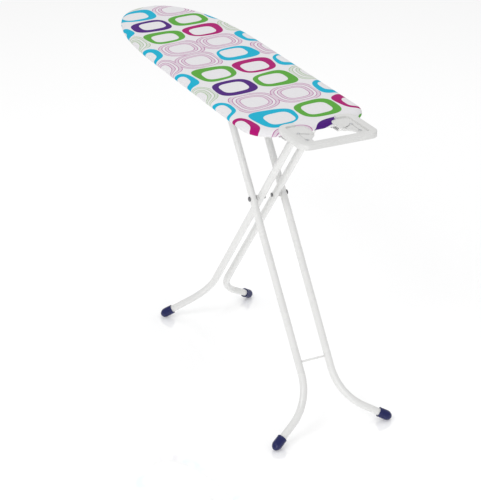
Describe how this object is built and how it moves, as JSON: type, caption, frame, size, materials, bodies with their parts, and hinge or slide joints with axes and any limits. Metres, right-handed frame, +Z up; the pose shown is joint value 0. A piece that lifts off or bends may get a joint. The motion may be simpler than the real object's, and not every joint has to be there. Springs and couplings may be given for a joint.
{
  "type": "ironing board",
  "caption": "Folding ironing board: padded top with a patterned cover, crossed steel tube legs with a rail-guided scissor fold, clamp lever and moulded iron rest.",
  "frame": {"origin": "centre of the whole object's box in plan, on the floor it stands on", "axes": "+X from the nose of the board to the tail with the iron rest, +Y across the board, +Z up"},
  "size_m": [1.3734, 0.4046, 0.9429],
  "materials": {
    "cover": "printed cotton with rounded rectangles in cyan, green, magenta, purple and pale lines",
    "pad": "felt underlay",
    "white_paint": "glossy off-white powder coat",
    "zinc": "zinc-plated steel",
    "dark_steel": "dark burnished steel",
    "grey_plastic": "light grey moulded plastic, satin",
    "navy_plastic": "glossy navy plastic",
    "black_plastic": "black plastic",
    "rubber": "black rubber"
  },
  "bodies": {
    "board": {"brake_spring": "dark_steel", "cover": "cover", "cross_member_middle": "white_paint", "cross_member_nose": "white_paint", "cross_member_tail": "white_paint", "deck_plate": "white_paint", "hinge_pin": "zinc", "hinge_pin_nut": "zinc", "hinge_spacer_left": "black_plastic", "hinge_spacer_right": "black_plastic", "iron_rest": "grey_plastic", "lever_bracket_nose": "zinc", "lever_bracket_tail": "zinc", "lever_pin_nose": "zinc", "lever_pin_tail": "zinc", "pad": "pad", "rail_left": "zinc", "rail_right": "zinc", "rail_rivet_middle_left": "zinc", "rail_rivet_middle_right": "zinc", "rail_rivet_nose_left": "zinc", "rail_rivet_nose_right": "zinc", "rail_rivet_tail_left": "zinc", "rail_rivet_tail_right": "zinc", "rest_screw_back_left": "zinc", "rest_screw_back_right": "zinc", "rest_screw_front_left": "zinc", "rest_screw_front_right": "zinc", "rest_strap_left": "white_paint", "rest_strap_right": "white_paint", "rim": "white_paint"},
    "lever": {"release_lever": "zinc", "brake_arm": "zinc", "brake_strip": "zinc", "brake_lining": "rubber", "lever_grip": "navy_plastic"},
    "inner_leg": {"inner_foot_left": "navy_plastic", "inner_foot_right": "navy_plastic", "inner_top_sleeve": "white_paint", "inner_tube_left": "white_paint", "inner_tube_right": "white_paint", "pivot_rivet_left": "dark_steel", "pivot_rivet_right": "dark_steel", "pivot_washer_left": "black_plastic", "pivot_washer_right": "black_plastic"},
    "outer_leg": {"cross_rod": "white_paint", "outer_foot_left": "navy_plastic", "outer_foot_right": "navy_plastic", "outer_tube_left": "white_paint", "outer_tube_right": "white_paint", "slide_shoe_left": "black_plastic", "slide_shoe_right": "black_plastic", "top_bar": "zinc"}
  },
  "joints": [
    {"name": "leg_fold", "type": "hinge", "parent": "board", "child": "inner_leg", "pos_m": [0.46177, 0, 0.9014], "axis": [0, 1, 0], "range_deg": [0, 51.44]},
    {"name": "leg_cross", "type": "hinge", "parent": "inner_leg", "child": "outer_leg", "pos_m": [0.23587, 0, 0.59898], "axis": [0, 1, 0], "range_deg": [-102.88, 0]},
    {"name": "lever_squeeze", "type": "hinge", "parent": "board", "child": "lever", "pos_m": [0.03337, 0.115, 0.914], "axis": [-1, 0, 0], "range_deg": [0, 1.4], "stiffness_Nm_per_rad": 6, "springref_deg": -11.46, "deforming": ["brake_spring"]}
  ],
  "couplings": [
    {"joint": "leg_cross", "follows": "leg_fold", "ratio": -2}
  ]
}
